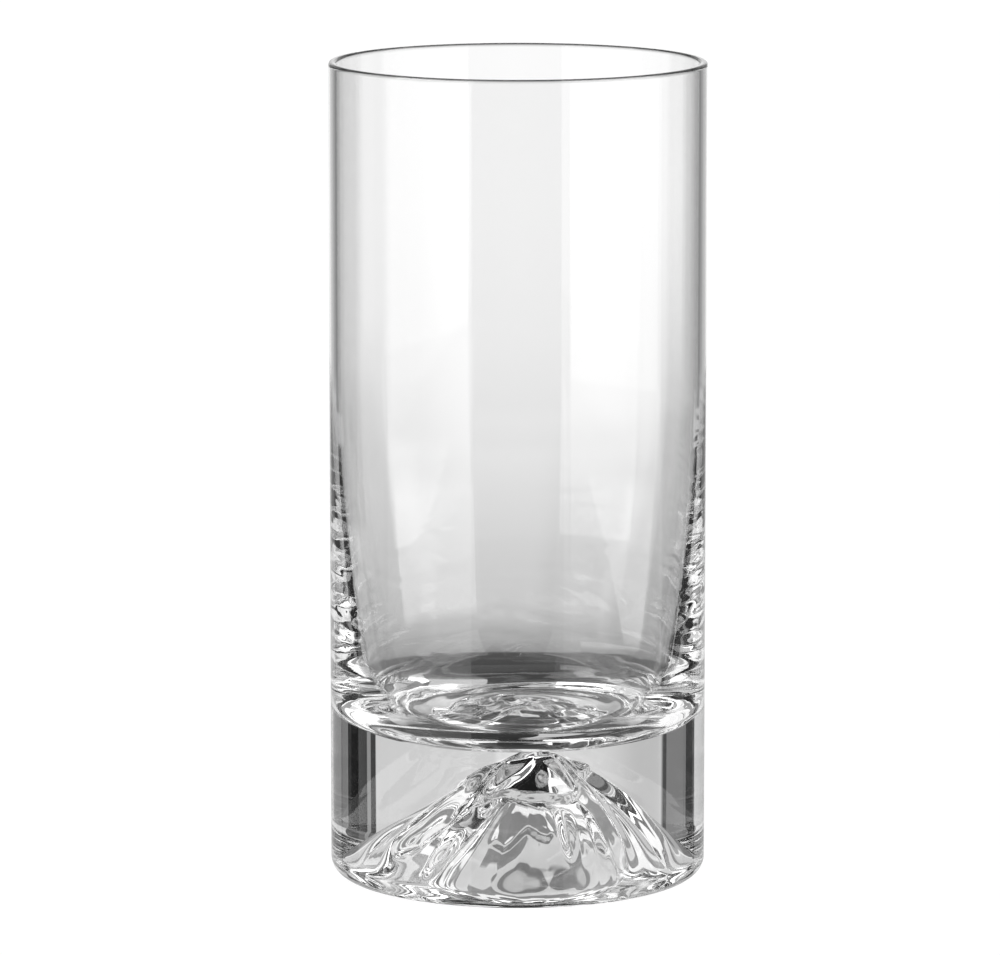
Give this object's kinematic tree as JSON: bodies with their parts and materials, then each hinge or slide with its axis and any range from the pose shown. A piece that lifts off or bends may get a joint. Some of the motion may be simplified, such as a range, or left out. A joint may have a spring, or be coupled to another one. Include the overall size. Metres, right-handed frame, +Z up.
{
  "type": "highball glass",
  "caption": "Tall straight-sided clear drinking glass with a thick base and a rocky peak pressed up into it from below.",
  "frame": {"origin": "on the glass's axis, in the plane of the foot ring that it stands on", "axes": "+Z up along the axis to the lip, +X to the right and -Y towards the viewer of the picture"},
  "size_m": [0.07, 0.07, 0.1525],
  "materials": {
    "clear_glass": "gloss"
  },
  "bodies": {
    "root": {"wall": "clear_glass", "base": "clear_glass"}
  },
  "joints": []
}
